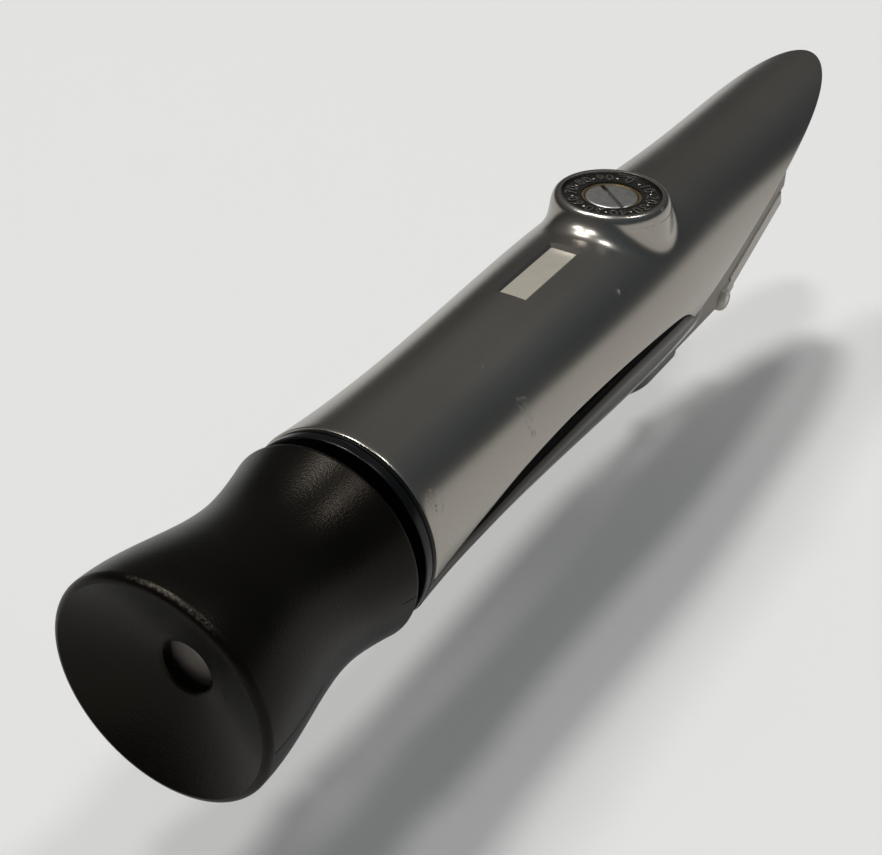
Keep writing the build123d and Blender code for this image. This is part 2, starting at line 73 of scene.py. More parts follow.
def smooth_curve(xs, ys, slopes=None):
    """Cubic spline through the stations, with given end slopes or free ends."""
    xs, ys = np.array(xs, float), np.array(ys, float)
    steps, rise = np.diff(xs), np.diff(ys) / np.diff(xs)
    count = len(xs)
    grid, right = np.zeros((count, count)), np.zeros(count)
    for i in range(1, count - 1):
        grid[i, i - 1:i + 2] = steps[i - 1], 2 * (steps[i - 1] + steps[i]), steps[i]
        right[i] = 6 * (rise[i] - rise[i - 1])
    if slopes:
        grid[0, :2] = 2 * steps[0], steps[0]
        grid[-1, -2:] = steps[-1], 2 * steps[-1]
        right[0], right[-1] = 6 * (rise[0] - slopes[0]), 6 * (slopes[1] - rise[-1])
    else:
        grid[0, :3] = steps[1], -(steps[0] + steps[1]), steps[0]
        grid[-1, -3:] = steps[-1], -(steps[-2] + steps[-1]), steps[-2]
    bends = np.linalg.solve(grid, right)

    def height(x):
        x = np.asarray(x, float)
        k = np.clip(np.searchsorted(xs, x) - 1, 0, count - 2)
        a, b, h = xs[k + 1] - x, x - xs[k], steps[k]
        cubic = (bends[k] * a ** 3 + bends[k + 1] * b ** 3) / (6 * h)
        return cubic + (ys[k] / h - bends[k] * h / 6) * a + (ys[k + 1] / h - bends[k + 1] * h / 6) * b

    return height


def arc(centre, radius, start, end, count):
    """Points on a circular arc in (radius, height), angles in degrees."""
    angles = np.radians(np.linspace(start, end, count + 1))
    return [(centre[0] + radius * math.cos(a), centre[1] + radius * math.sin(a)) for a in angles]


def through(first, middle, last, count):
    """Points on the circular arc through three points."""
    (ax, ay), (bx, by), (cx, cy) = first, middle, last
    d = 2 * (ax * (by - cy) + bx * (cy - ay) + cx * (ay - by))
    a2, b2, c2 = ax * ax + ay * ay, bx * bx + by * by, cx * cx + cy * cy
    ux = (a2 * (by - cy) + b2 * (cy - ay) + c2 * (ay - by)) / d
    uy = (a2 * (cx - bx) + b2 * (ax - cx) + c2 * (bx - ax)) / d
    start, end = math.atan2(ay - uy, ax - ux), math.atan2(cy - uy, cx - ux)
    turn = (end - start + math.pi) % (2 * math.pi) - math.pi
    radius = math.hypot(ax - ux, ay - uy)
    return [
        (ux + radius * math.cos(start + turn * k / count), uy + radius * math.sin(start + turn * k / count))
        for k in range(count + 1)
    ]


body_radius = smooth_curve(
    (38.1, 66.0, 114.2, 146.0, 175.0, 203.0), (14.65, 14.05, 15.2, 14.15, 14.0, 14.05)
)
CORNER_Y, CORNER_Z, TIP_Z = 118.5, -2.5, 14.05
arch = smooth_curve(
    (37.7, 44.0, 52.0, 60.0, 68.0, 76.0, 84.0, 92.0, 100.0, 108.0, 112.0, 114.5, 116.5, CORNER_Y),
    (-2.6, -1.9, -1.0, 0.1, 0.9, 1.45, 1.7, 1.75, 1.55, 1.1, 0.65, 0.05, -0.95, CORNER_Z),
)


def edge_height(y):
    """Height of the upper housing's lower edge: the arch, then the slope up to the nose tip."""
    slope = (TIP_Z - CORNER_Z) / (LENGTH - CORNER_Y)
    return float(arch(y)) if y <= CORNER_Y else CORNER_Z + slope * (y - CORNER_Y)


def rounded_edge(start, corner, end):
    """Points of a small edge that rounds from start to end by way of the corner."""
    points = []
    for t in (0.3, 0.6, 1.0):
        a, b, c = (1 - t) ** 2, 2 * t * (1 - t), t * t
        points.append(tuple(a * p + b * q + c * r for p, q, r in zip(start, corner, end)))
    return points


def furthest(low, high, inside):
    """The largest value between low and high that is inside, by bisection."""
    for _ in range(50):
        middle = (low + high) / 2
        low, high = (middle, high) if inside(middle) else (low, middle)
    return low


# ---------------------------------------------------------------- modelling helpers


def only(piece):
    """Leaves piece as the one selected and active object."""
    if bpy.context.object and bpy.context.object.mode != "OBJECT":
        bpy.ops.object.mode_set(mode="OBJECT")
    bpy.ops.object.select_all(action="DESELECT")
    piece.select_set(True)
    bpy.context.view_layer.objects.active = piece


def tidied(piece, merge=1e-7):
    """Merges what coincides, drops loose edges and turns every face outwards."""
    only(piece)
    bpy.ops.object.mode_set(mode="EDIT")
    bpy.ops.mesh.select_mode(type="VERT")
    bpy.ops.mesh.select_all(action="SELECT")
    bpy.ops.mesh.remove_doubles(threshold=merge)
    bpy.ops.mesh.delete_loose()
    bpy.ops.mesh.select_all(action="SELECT")
    bpy.ops.mesh.normals_make_consistent(inside=False)
    bpy.ops.object.mode_set(mode="OBJECT")
    return piece


def turned(outline, upright=False, y=0.0, steps=128):
    """Closed outline of (radius, height) in mm, spun about the optical axis or an upright one."""
    bpy.ops.object.select_all(action="DESELECT")
    bpy.ops.mesh.primitive_circle_add(vertices=len(outline), radius=MM)
    piece = bpy.context.object
    for vertex, (radius, height) in zip(piece.data.vertices, outline):
        vertex.co = at(radius, y, height) if upright else at(radius, height, 0)
    bpy.ops.object.mode_set(mode="EDIT")
    bpy.ops.mesh.select_all(action="SELECT")
    bpy.ops.mesh.spin(
        steps=steps, angle=2 * math.pi, center=at(0, y, 0), axis=(0, 0, 1) if upright else (0, 1, 0)
    )
    bpy.ops.object.mode_set(mode="OBJECT")
    return tidied(piece)


def modified(piece, kind, **settings):
    """Adds one modifier with its settings and applies it."""
    only(piece)
    modifier = piece.modifiers.new(kind.title(), kind)
    for name, value in settings.items():
        setattr(modifier, name, value)
    bpy.ops.object.modifier_apply(modifier=modifier.name)
    return piece


def cut(piece, tool):
    """Takes the tool's shape out of a piece."""
    modified(piece, "BOOLEAN", operation="DIFFERENCE", object=tool, solver="EXACT")
    bpy.data.objects.remove(tool)
    return piece


def rounded_block(low, high, corner, edge=0.0):
    """Block from low to high in mm, its upright corners and its other edges rounded by two radii."""
    low, high = at(*low), at(*high)
    bpy.ops.object.select_all(action="DESELECT")
    bpy.ops.mesh.primitive_cube_add(size=1, location=(low + high) / 2)
    piece = bpy.context.object
    piece.scale = high - low
    bpy.ops.object.transform_apply(location=True, rotation=True, scale=True)
    bpy.ops.object.mode_set(mode="EDIT")
    for radius, segments, upright in ((corner, 6, True), (edge, 3, False)):
        if not radius:
            continue
        bpy.ops.mesh.select_all(action="DESELECT")
        mesh = bmesh.from_edit_mesh(piece.data)
        for e in mesh.edges:
            rise = abs((e.verts[0].co - e.verts[1].co).normalized().z)
            e.select = rise > 0.9 if upright else rise < 0.1
        mesh.select_mode = {"EDGE"}
        mesh.select_flush_mode()
        bmesh.update_edit_mesh(piece.data)
        bpy.ops.mesh.bevel(offset=radius * MM, segments=segments, profile=0.5)
    bpy.ops.object.mode_set(mode="OBJECT")
    return piece


def about_boss(angle):
    """Turns a mesh by angle about the upright axis of the boss."""
    centre = at(0, BOSS_Y, 0)
    return Matrix.Translation(centre) @ Matrix.Rotation(angle, 4, "Z") @ Matrix.Translation(-centre)


def built(name, points, faces):
    """A piece made straight from points in mm and faces."""
    mesh = bpy.data.meshes.new(name)
    mesh.from_pydata([at(*p) for p in points], [], faces)
    piece = bpy.data.objects.new(name, mesh)
    bpy.context.scene.collection.objects.link(piece)
    return tidied(piece)


def fitted(piece, name, slot, body, *nodes, smooth=30.0):
    """Finishes a piece: smooth shading, its finish, its body and the nodes it stands for."""
    only(piece)
    bpy.ops.object.transform_apply(location=True, rotation=True, scale=True)
    bpy.ops.object.shade_smooth_by_angle(angle=math.radians(smooth))
    piece.name = piece.data.name = name
    piece.data.materials.clear()
    piece.data.materials.append(finish(slot))
    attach(piece, body)
    if nodes:
        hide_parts(*nodes)
    return piece


# ---------------------------------------------------------------- materials


def colour(code):
    """Linear RGBA of an sRGB hex code such as 8f8a84."""
    parts = [int(code[i:i + 2], 16) / 255 for i in (0, 2, 4)]
    linear = [c / 12.92 if c <= 0.04045 else ((c + 0.055) / 1.055) ** 2.4 for c in parts]
    return (*linear, 1.0)


def add_node(tree, kind, inputs=None, **settings):
    """Adds one shader node, sets its properties and fills or links its inputs."""
    made = tree.nodes.new(kind)
    for name, value in settings.items():
        setattr(made, name, value)
    for socket, value in (inputs or {}).items():
        if isinstance(value, bpy.types.Node):
            value = value.outputs[2 if value.bl_idname == "ShaderNodeMix" else 0]
        if isinstance(value, bpy.types.NodeSocket):
            tree.links.new(value, made.inputs[socket])
        else:
            made.inputs[socket].default_value = value
    return made


def per_mm(size):
    """Texture scale that gives one feature every size millimetres."""
    return 1.0 / (size * MM)


def wave_per_mm(size):
    """Wave texture scale that gives one band every size millimetres; it runs 20 radians to a unit."""
    return per_mm(size) * 2 * math.pi / 20


def started(name):
    """A new material with an empty tree, and the object coordinates in it."""
    material = bpy.data.materials.new(name)
    material.use_nodes = True
    tree = material.node_tree
    tree.nodes.clear()
    return material, tree, add_node(tree, "ShaderNodeTexCoord").outputs["Object"]


def finished(material, tree, tone, rough, more=None, height=None, relief=0.0):
    """Closes a tree with its shader and output; height is a pattern that stands out by relief mm."""
    inputs = {"Base Color": tone, "Roughness": rough, **(more or {})}
    if height:
        inputs["Normal"] = add_node(
            tree, "ShaderNodeBump", {"Height": height, "Strength": 1.0, "Distance": relief * MM}
        )
    shader = add_node(tree, "ShaderNodeBsdfPrincipled", inputs)
    add_node(tree, "ShaderNodeOutputMaterial", {"Surface": shader})
    return material


# Bare metal, which keeps the shader's own index of refraction.
METAL = {"Metallic": 1.0}

# Where the chrome is chipped or scratched, and how far each mark reaches, in metres.
WORN_SPOTS = (
    ((0.0125, -0.0611, 0.0233), 0.0020),
    ((0.0112, -0.0360, 0.0245), 0.0013),
    ((0.0124, -0.0366, 0.0226), 0.0015),
    ((0.0133, -0.0365, 0.0205), 0.0012),
    ((0.0050, -0.0374, 0.0291), 0.0006),
    ((0.0101, -0.0046, 0.0271), 0.0006),
    ((0.0093, 0.0124, 0.0339), 0.0009),
)


def satin_chromed_casting():
    """Zinc die casting, blasted and satin chromed: even soft reflections, a fine grain and a few chips."""
    metal = bpy.context.scene.refractometer_finishes.metal
    material, tree, place = started("satin_chromed_die_casting")
    broad = add_node(tree, "ShaderNodeTexNoise", {"Vector": place, "Scale": per_mm(25), "Detail": 1.0})
    # The blasting grain is finer than this in life; 0.4 mm is as fine as still shows.
    grain = add_node(tree, "ShaderNodeTexNoise", {"Vector": place, "Scale": per_mm(0.4), "Detail": 3.0})
    darker, lighter = ((*(c * k for c in metal), 1) for k in (0.9, 1.1))
    tone = add_node(tree, "ShaderNodeMix", {0: grain, 6: darker, 7: lighter}, data_type="RGBA")
    spots = None
    for centre, reach in WORN_SPOTS:
        away = add_node(tree, "ShaderNodeVectorMath", {0: place, 1: centre}, operation="DISTANCE")
        near = add_node(
            tree, "ShaderNodeMapRange",
            {"Value": away.outputs["Value"], 1: reach * 0.3, 2: reach, 3: 1.0, 4: 0.0},
        )
        if spots:
            near = add_node(tree, "ShaderNodeMath", {0: spots, 1: near}, operation="MAXIMUM")
        spots = near
    fleck = add_node(
        tree, "ShaderNodeTexNoise",
        {"Vector": place, "Scale": per_mm(0.8), "Detail": 6.0, "Roughness": 0.85},
    )
    fleck = add_node(tree, "ShaderNodeMapRange", {"Value": fleck, 1: 0.56, 2: 0.59})
    chips = add_node(tree, "ShaderNodeMath", {0: fleck, 1: spots}, operation="MULTIPLY")
    tone = add_node(tree, "ShaderNodeMix", {0: chips, 6: tone, 7: colour("57524b")}, data_type="RGBA")
    rough = add_node(tree, "ShaderNodeMapRange", {"Value": broad, 1: 0.3, 2: 0.7, 3: 0.24, 4: 0.27})
    depth = add_node(tree, "ShaderNodeMath", {0: chips, 1: -14.0, 2: grain}, operation="MULTIPLY_ADD")
    return finished(material, tree, tone, rough, METAL, depth, 0.005)


def plated_casting():
    """Nickel plated die casting of the prism end: rougher than the shell, and darker by painted shade."""
    material, tree, place = started("nickel_plated_casting_painted_shade")
    broad = add_node(tree, "ShaderNodeTexNoise", {"Vector": place, "Scale": per_mm(8), "Detail": 2.0})
    grain = add_node(tree, "ShaderNodeTexNoise", {"Vector": place, "Scale": per_mm(0.45), "Detail": 3.0})
    # Both tones are the shell's metal as it looks in shade under the shell's lower edge: painted shade.
    tone = add_node(
        tree, "ShaderNodeMix", {0: broad, 6: colour("615b54"), 7: colour("6d6760")}, data_type="RGBA"
    )
    rough = add_node(tree, "ShaderNodeMapRange", {"Value": broad, 1: 0.3, 2: 0.7, 3: 0.3, 4: 0.38})
    return finished(material, tree, tone, rough, METAL, grain, 0.005)


# The stretch on top of the eyecup's rim that is painted pale, partly rubbed wear and partly a painted
# highlight where the rim catches the lamps: its middle and its reach in metres.
RIM_RUB_AND_HIGHLIGHT = (0.0030, -0.1009, 0.0316), 0.0068


def moulded_rubber():
    """Hard black rubber from a grained mould: near black, the grain sparkling where a lamp catches it."""
    material, tree, place = started("moulded_black_rubber")
    broad = add_node(tree, "ShaderNodeTexNoise", {"Vector": place, "Scale": per_mm(9), "Detail": 2.0})
    # Spark-eroded mould grain of about 0.1 mm, drawn at 0.3 mm so that it shows.
    grain = add_node(
        tree, "ShaderNodeTexNoise", {"Vector": place, "Scale": per_mm(0.3), "Detail": 2.0, "Roughness": 0.6}
    )
    tone = add_node(
        tree, "ShaderNodeMix", {0: broad, 6: colour("030302"), 7: colour("080705")}, data_type="RGBA"
    )
    centre, reach = RIM_RUB_AND_HIGHLIGHT
    away = add_node(tree, "ShaderNodeVectorMath", {0: place, 1: centre}, operation="DISTANCE")
    near = add_node(
        tree, "ShaderNodeMapRange",
        {"Value": away.outputs["Value"], 1: reach * 0.7, 2: reach, 3: 1.0, 4: 0.0},
    )
    # The distance from the optical axis and the one along it keep the pale rub and painted highlight to the
    # rim's outer corner.
    flat = add_node(tree, "ShaderNodeVectorMath", {0: place, 1: (0, 0, -AXIS_HEIGHT * MM)}, operation="ADD")
    flat = add_node(tree, "ShaderNodeVectorMath", {0: flat, 1: (1, 0, 1)}, operation="MULTIPLY")
    out = add_node(tree, "ShaderNodeVectorMath", {0: flat}, operation="LENGTH").outputs["Value"]
    edge = add_node(tree, "ShaderNodeMapRange", {"Value": out, 1: 0.01565, 2: 0.0159})
    rub_and_glint_flecks = add_node(
        tree, "ShaderNodeTexNoise", {"Vector": place, "Scale": per_mm(0.5), "Detail": 6.0, "Roughness": 0.8}
    )
    rub_and_glint_flecks = add_node(tree, "ShaderNodeMapRange", {"Value": rub_and_glint_flecks, 1: 0.48, 2: 0.62})
    along = add_node(tree, "ShaderNodeSeparateXYZ", {"Vector": place}).outputs["Y"]
    front = add_node(tree, "ShaderNodeMapRange", {"Value": along, 1: -0.1009, 2: -0.1005, 3: 1.0, 4: 0.0})
    edge = add_node(tree, "ShaderNodeMath", {0: edge, 1: front}, operation="MULTIPLY")
    rub_and_highlight = add_node(tree, "ShaderNodeMath", {0: near, 1: edge}, operation="MULTIPLY")
    rub_and_highlight = add_node(tree, "ShaderNodeMath", {0: rub_and_highlight, 1: rub_and_glint_flecks}, operation="MULTIPLY")
    # Pale flecks on top of the rim: partly real rubbing, partly a painted highlight.
    tone = add_node(tree, "ShaderNodeMix", {0: rub_and_highlight, 6: tone, 7: colour("5a544c")}, data_type="RGBA")
    rough = add_node(tree, "ShaderNodeMapRange", {"Value": broad, 1: 0.3, 2: 0.7, 3: 0.27, 4: 0.33})
    sheen = {"IOR": 1.5, "Specular IOR Level": 0.13, "Specular Tint": colour("ffeeda")}
    return finished(material, tree, tone, rough, sheen, grain, 0.035)


def glossy_plastic():
    """Injection moulded ABS, polished black: sharp dark reflections, faint handling smears."""
    material, tree, place = started("glossy_black_abs")
    smear = add_node(tree, "ShaderNodeTexNoise", {"Vector": place, "Scale": per_mm(14), "Detail": 3.0})
    tone = add_node(
        tree, "ShaderNodeMix", {0: smear, 6: colour("050505"), 7: colour("0a0909")}, data_type="RGBA"
    )
    rough = add_node(tree, "ShaderNodeMapRange", {"Value": smear, 1: 0.35, 2: 0.7, 3: 0.08, 4: 0.15})
    fine = add_node(tree, "ShaderNodeTexNoise", {"Vector": place, "Scale": per_mm(0.5), "Detail": 2.0})
    gloss = {"IOR": 1.5, "Specular IOR Level": 0.35, "Specular Tint": colour("ffeeda")}
    return finished(material, tree, tone, rough, gloss, fine, 0.002)


def black_anodised():
    """Turned aluminium, black anodised: deep black satin with faint turning rings."""
    material, tree, place = started("black_anodised_aluminium")
    # Turning rings are far finer in life; they are drawn about 2.5 mm apart so that they show.
    rings = add_node(
        tree, "ShaderNodeTexWave",
        {"Vector": place, "Scale": wave_per_mm(2.513), "Distortion": 0.4, "Detail": 1.0},
        bands_direction="Y",
    )
    mottle = add_node(tree, "ShaderNodeTexNoise", {"Vector": place, "Scale": per_mm(4)})
    tone = add_node(
        tree, "ShaderNodeMix", {0: mottle, 6: colour("060607"), 7: colour("0c0c0d")}, data_type="RGBA"
    )
    rough = add_node(tree, "ShaderNodeMapRange", {"Value": rings, 3: 0.24, 4: 0.34})
    return finished(material, tree, tone, rough, {"Metallic": 0.5}, rings, 0.002)


def machined_aluminium():
    """Milled aluminium: bright with soft cutter lines."""
    material, tree, place = started("machined_aluminium")
    # Cutter lines, about 2.5 mm apart.
    lines = add_node(
        tree, "ShaderNodeTexWave", {"Vector": place, "Scale": wave_per_mm(2.513), "Distortion": 1.0},
        bands_direction="X",
    )
    mottle = add_node(tree, "ShaderNodeTexNoise", {"Vector": place, "Scale": per_mm(5)})
    tone = add_node(
        tree, "ShaderNodeMix", {0: mottle, 6: colour("a6a6a8"), 7: colour("bdbdbf")}, data_type="RGBA"
    )
    rough = add_node(tree, "ShaderNodeMapRange", {"Value": lines, 3: 0.24, 4: 0.36})
    return finished(material, tree, tone, rough, METAL, lines, 0.003)


def frosted_acrylic():
    """Moulded frosted acrylic: translucent, milky, with a soft sheen."""
    material, tree, place = started("frosted_acrylic")
    frost = add_node(tree, "ShaderNodeTexNoise", {"Vector": place, "Scale": per_mm(0.4), "Detail": 3.0})
    cloud = add_node(tree, "ShaderNodeTexNoise", {"Vector": place, "Scale": per_mm(6)})
    tone = add_node(
        tree, "ShaderNodeMix", {0: cloud, 6: colour("c9c2b6"), 7: colour("d6d0c5")}, data_type="RGBA"
    )
    rough = add_node(tree, "ShaderNodeMapRange", {"Value": frost, 1: 0.2, 2: 0.8, 3: 0.25, 4: 0.4})
    return finished(material, tree, tone, rough, {"IOR": 1.49, "Transmission Weight": 0.5}, frost, 0.008)


def floor_paper():
    """Matt studio paper: pale, with a barely uneven tone."""
    pale = bpy.context.scene.refractometer_finishes.floor
    material, tree, place = started("matt_studio_paper")
    cloud = add_node(tree, "ShaderNodeTexNoise", {"Vector": place, "Scale": per_mm(400), "Detail": 1.0})
    shaded = (*(c * 0.985 for c in pale), 1)
    tone = add_node(tree, "ShaderNodeMix", {0: cloud, 6: shaded, 7: (*pale, 1)}, data_type="RGBA")
    return finished(material, tree, tone, 0.9)


def patterned(
    name, grain, tones, gloss, detail=3.0, coarse=0.5, stain=None, span=(0, 1), relief=0.0, shader=None
):
    """A finish that one noise pattern drives.

    Its features are grain mm across. It blends the two tones, over the stretch stain of its values
    if that is given, sets the roughness to gloss over the stretch span, and stands out by relief mm.
    """
    material, tree, place = started(name)
    pattern = add_node(
        tree, "ShaderNodeTexNoise",
        {"Vector": place, "Scale": per_mm(grain), "Detail": detail, "Roughness": coarse},
    )
    share = pattern
    if stain:
        share = add_node(tree, "ShaderNodeMapRange", {"Value": pattern, 1: stain[0], 2: stain[1]})
    tone = add_node(
        tree, "ShaderNodeMix", {0: share, 6: colour(tones[0]), 7: colour(tones[1])}, data_type="RGBA"
    )
    rough = add_node(
        tree, "ShaderNodeMapRange", {"Value": pattern, 1: span[0], 2: span[1], 3: gloss[0], 4: gloss[1]}
    )
    return finished(material, tree, tone, rough, shader, pattern if relief else None, relief)


def matt_black():
    """Sprayed optical black inside the tube: flat, dead black, slightly powdery."""
    return patterned("matt_black_lacquer", 0.4, ("070707", "101010"), (0.75, 0.95), shader={"IOR": 1.45})


def turned_brass():
    """Turned brass, tarnished: dull warm yellow with browner patches."""
    return patterned(
        "turned_brass", 1.6, ("c4a878", "94805f"), (0.22, 0.38), detail=4.0, coarse=0.6,
        stain=(0.35, 0.7), span=(0.3, 0.7), relief=0.004, shader=METAL,
    )


def plated_steel():
    """Nickel plated steel: silvery, softly scuffed where a driver or finger has rubbed it."""
    return patterned(
        "nickel_plated_steel", 1.1, ("bdbcb8", "a3a19c"), (0.28, 0.42), detail=4.0, coarse=0.65,
        stain=(0.4, 0.7), span=(0.3, 0.7), relief=0.006, shader=METAL,
    )


def spring_steel():
    """Oil-blued spring steel clips: dark with a faint brown cast."""
    return patterned("blued_spring_steel", 1.2, ("3a3a3f", "5c5248"), (0.25, 0.4), shader=METAL)


def crown_glass():
    """Ground and polished optical glass, its half-opaque grey base a painted reflection of the pale room it
    faces, which reads as flat grey.
    """
    # Both grey tones are painted reflection: they stand in for the pale room that the lens mirrors.
    return patterned(
        "crown_glass_painted_reflection", 0.8, ("a39a92", "b8b0a8"), (0.05, 0.3), detail=5.0, coarse=0.7,
        span=(0.4, 0.8), shader={"IOR": 1.52, "Transmission Weight": 0.5},
    )


def prism_glass():
    """Dense flint glass block, polished on its faces, with a little dust."""
    return patterned(
        "polished_flint_glass", 0.8, ("eef3f0", "e0e6e2"), (0.0, 0.2), detail=5.0, coarse=0.7,
        span=(0.6, 0.8), shader={"IOR": 1.72, "Transmission Weight": 1.0},
    )


def seal_rubber():
    """Nitrile rubber rings and gasket: dull black with a grey bloom."""
    return patterned("nitrile_rubber", 0.7, ("0c0c0d", "1a1a1a"), (0.55, 0.8), shader={"IOR": 1.5})


def black_enamel():
    """Stove enamel of the dial ring: warm deep black, satin, slightly uneven."""
    return patterned(
        "black_stove_enamel", 1.5, ("0b0a08", "171511"), (0.2, 0.28),
        span=(0.3, 0.7), relief=0.012, shader={"IOR": 1.5},
    )


def plate_enamel():
    """Baked off-white enamel, a little yellowed, with faint soiling."""
    return patterned(
        "baked_white_enamel", 2.5, ("a7a295", "979182"), (0.3, 0.42), detail=4.0, coarse=0.6,
        span=(0.3, 0.7), relief=0.006, shader={"IOR": 1.5},
    )


FINISHES = {
    "housing_metal": satin_chromed_casting,
    "prism_block_metal": plated_casting,
    "eyecup_rubber": moulded_rubber,
    "cover_plastic": glossy_plastic,
    "black_anodised": black_anodised,
    "chassis_metal": machined_aluminium,
    "lid_acrylic": frosted_acrylic,
    "baffle_black": matt_black,
    "brass": turned_brass,
    "screw_steel": plated_steel,
    "spring_steel": spring_steel,
    "optical_glass": crown_glass,
    "prism_glass": prism_glass,
    "seal_rubber": seal_rubber,
    "badge_enamel": black_enamel,
    "plate_enamel": plate_enamel,
}
made_finishes = {}


def finish(slot):
    """The material of a slot, made the first time it is asked for."""
    if slot not in made_finishes:
        made_finishes[slot] = FINISHES[slot]()
    return made_finishes[slot]


# ---------------------------------------------------------------- sizes and colours


def size(name, text, default, **more):
    """A length in metres from a default in millimetres."""
    return FloatProperty(
        name=name, description=text, default=default * MM, unit="LENGTH", precision=5, **more
    )


class RefractometerFinishes(bpy.types.PropertyGroup):
    metal: FloatVectorProperty(
        name="Metal", description="Colour of the satin chromed shell",
        default=colour("9b968e")[:3], subtype="COLOR", min=0, max=1, size=3,
    )
    floor: FloatVectorProperty(
        name="Floor", description="Colour of the studio floor",
        default=colour("e2e1df")[:3], subtype="COLOR", min=0, max=1, size=3,
    )


class RefractometerSizes(bpy.types.PropertyGroup):
    cup_edge: size("Cup edge", "Rounding of the eyecup's front edge", 0.2)
    shell_edge: size("Shell edge", "Rounding of the upper housing's lower edge", 0.2)
    boss_blend: size("Boss blend", "Radius of the fillet under the boss", 4.2)
    boss_edge: size("Boss edge", "Rounding of the boss's rim", 1.22)
    mark_height: size("Mark height", "How far the dial marks stand above the enamel", 0.12)
    labels: IntProperty(
        name="Labels", description="Numbers around the dial ring", default=10, min=2, max=20
    )
    recess: size("Recess", "Depth of the cover's shoulder under the arched edge", 2.0)
    flash: size("Parting line", "Height of the eyecup's mould line", 0.07)


class RefractometerStage(bpy.types.PropertyGroup):
    lamp: FloatProperty(name="Lamps", description="Strength of the studio lamps", default=1.0, min=0)
    surround: FloatProperty(
        name="Surround", description="Brightness of the room above", default=0.15, min=0
    )
    clearance: size("Clearance", "Height over the floor, so that the daylight plate can open", 26.0)


# ---------------------------------------------------------------- pieces


class RefractometerEyecup(bpy.types.Operator):
    """Adds the rubber eyecup with its dished end and waist"""

    bl_idname = "refractometer.add_eyecup"
    bl_label = "Add Eyecup"

    def execute(self, context):
        edge = context.scene.refractometer_sizes.cup_edge / MM
        rim_y, rim_r, end_y, end_r = 1.2, 16.0, 32.95, 14.95
        waist = smooth_curve((rim_y, 22.8, end_y), (rim_r, 13.25, end_r), slopes=(0.0, 0.24))
        hole, hole_y, crest = 3.63, 5.26, 15.0
        dish = through((hole + 0.25, hole_y - 0.02), (9.3, 3.13), (crest, 0.0), 40)
        rim = through((crest, 0.0), (15.71, 0.35), (rim_r, rim_y), 12)
        side = [(float(waist(y)), y) for y in np.linspace(rim_y, end_y - edge, 90)]
        lip = arc((end_r - 0.03 - edge, end_y - edge), edge, 8, 90, 4)
        bore = [(11.85, end_y), (11.6, end_y - 0.25), (11.6, 6.76), (hole, 6.76), (hole, hole_y + 0.23)]
        outline = dish[:-1] + rim[:-1] + side[:-1] + lip + bore
        cup = turned(outline, steps=192)
        self.parting_line(cup, context.scene.refractometer_sizes.flash / MM)
        fitted(cup, "eyecup_sleeve", "eyecup_rubber", "eyecup", "eyecup", smooth=40)
        return {"FINISHED"}

    @staticmethod
    def parting_line(cup, flash):
        """Raises the thin line where the two mould halves met, on both flanks."""
        only(cup)
        bpy.ops.object.mode_set(mode="EDIT")
        line, half_width = 83.5, 0.4
        for degrees in (line - half_width, line, line + half_width):
            across = math.radians(degrees)
            bpy.ops.mesh.select_all(action="SELECT")
            bpy.ops.mesh.bisect(plane_co=at(0, 0, 0), plane_no=(math.cos(across), 0, math.sin(across)))
        bpy.ops.object.mode_set(mode="OBJECT")
        across = math.radians(line)
        for vertex in cup.data.vertices:
            x, z = vertex.co.x, vertex.co.z - AXIS_HEIGHT * MM
            y, out = vertex.co.y / MM + LENGTH / 2, math.hypot(x, z)
            on_line = abs(x * math.cos(across) + z * math.sin(across)) < 1e-6
            if on_line and 1.2 < y < 32.6 and out > 12.5 * MM:
                grown = 1 + flash * MM / out
                vertex.co.x, vertex.co.z = x * grown, z * grown + AXIS_HEIGHT * MM


class RefractometerBarrel(bpy.types.Operator):
    """Adds the black barrel whose flange shows between eyecup and shell"""

    bl_idname = "refractometer.add_focus_barrel"
    bl_label = "Add Focus Barrel"

    def execute(self, context):
        flange = arc((14.23, 35.82), 0.22, -90, 0, 4)
        groove = [(14.45, 36.9), (14.2, 37.05), (14.2, 37.25), (14.4, 37.35), (14.4, REAR)]
        spigot = [(12.37, REAR), (12.37, 46.0), (9.6, 46.0), (9.6, 42.0), (9.05, 42.0), (9.05, 13.3)]
        mouth = [(9.15, 13.2), (10.4, 13.2), (10.5, 13.3)]
        seal_groove = [(10.5, 16.1), (9.8, 16.1), (9.8, 16.9), (10.5, 16.9)]
        thread = [(10.5, 35.3), (10.6, 35.6)]
        piece = turned(mouth + seal_groove + thread + flange + groove + spigot, steps=160)
        fitted(piece, "focus_barrel_turning", "black_anodised", "housing", "focus_barrel")
        return {"FINISHED"}


# The number plate: its ends along the instrument, half its width, its seat and its face.
PLATE_REAR, PLATE_FRONT, PLATE_HALF, PLATE_SEAT, PLATE_FACE = 81.9, 98.3, 2.25, 13.5, 14.0


def plate_face(y):
    """Height of the number plate's face, which follows the swell of the body towards the boss."""
    return PLATE_FACE + 0.4 * (y - PLATE_REAR) / (PLATE_FRONT - PLATE_REAR)


def plate_block(grow, bottom, top, corner, edge=0.0):
    """A block with the number plate's outline, larger all round by grow."""
    low = (-PLATE_HALF - grow, PLATE_REAR - grow, bottom)
    return rounded_block(low, (PLATE_HALF + grow, PLATE_FRONT + grow, top), corner, edge)


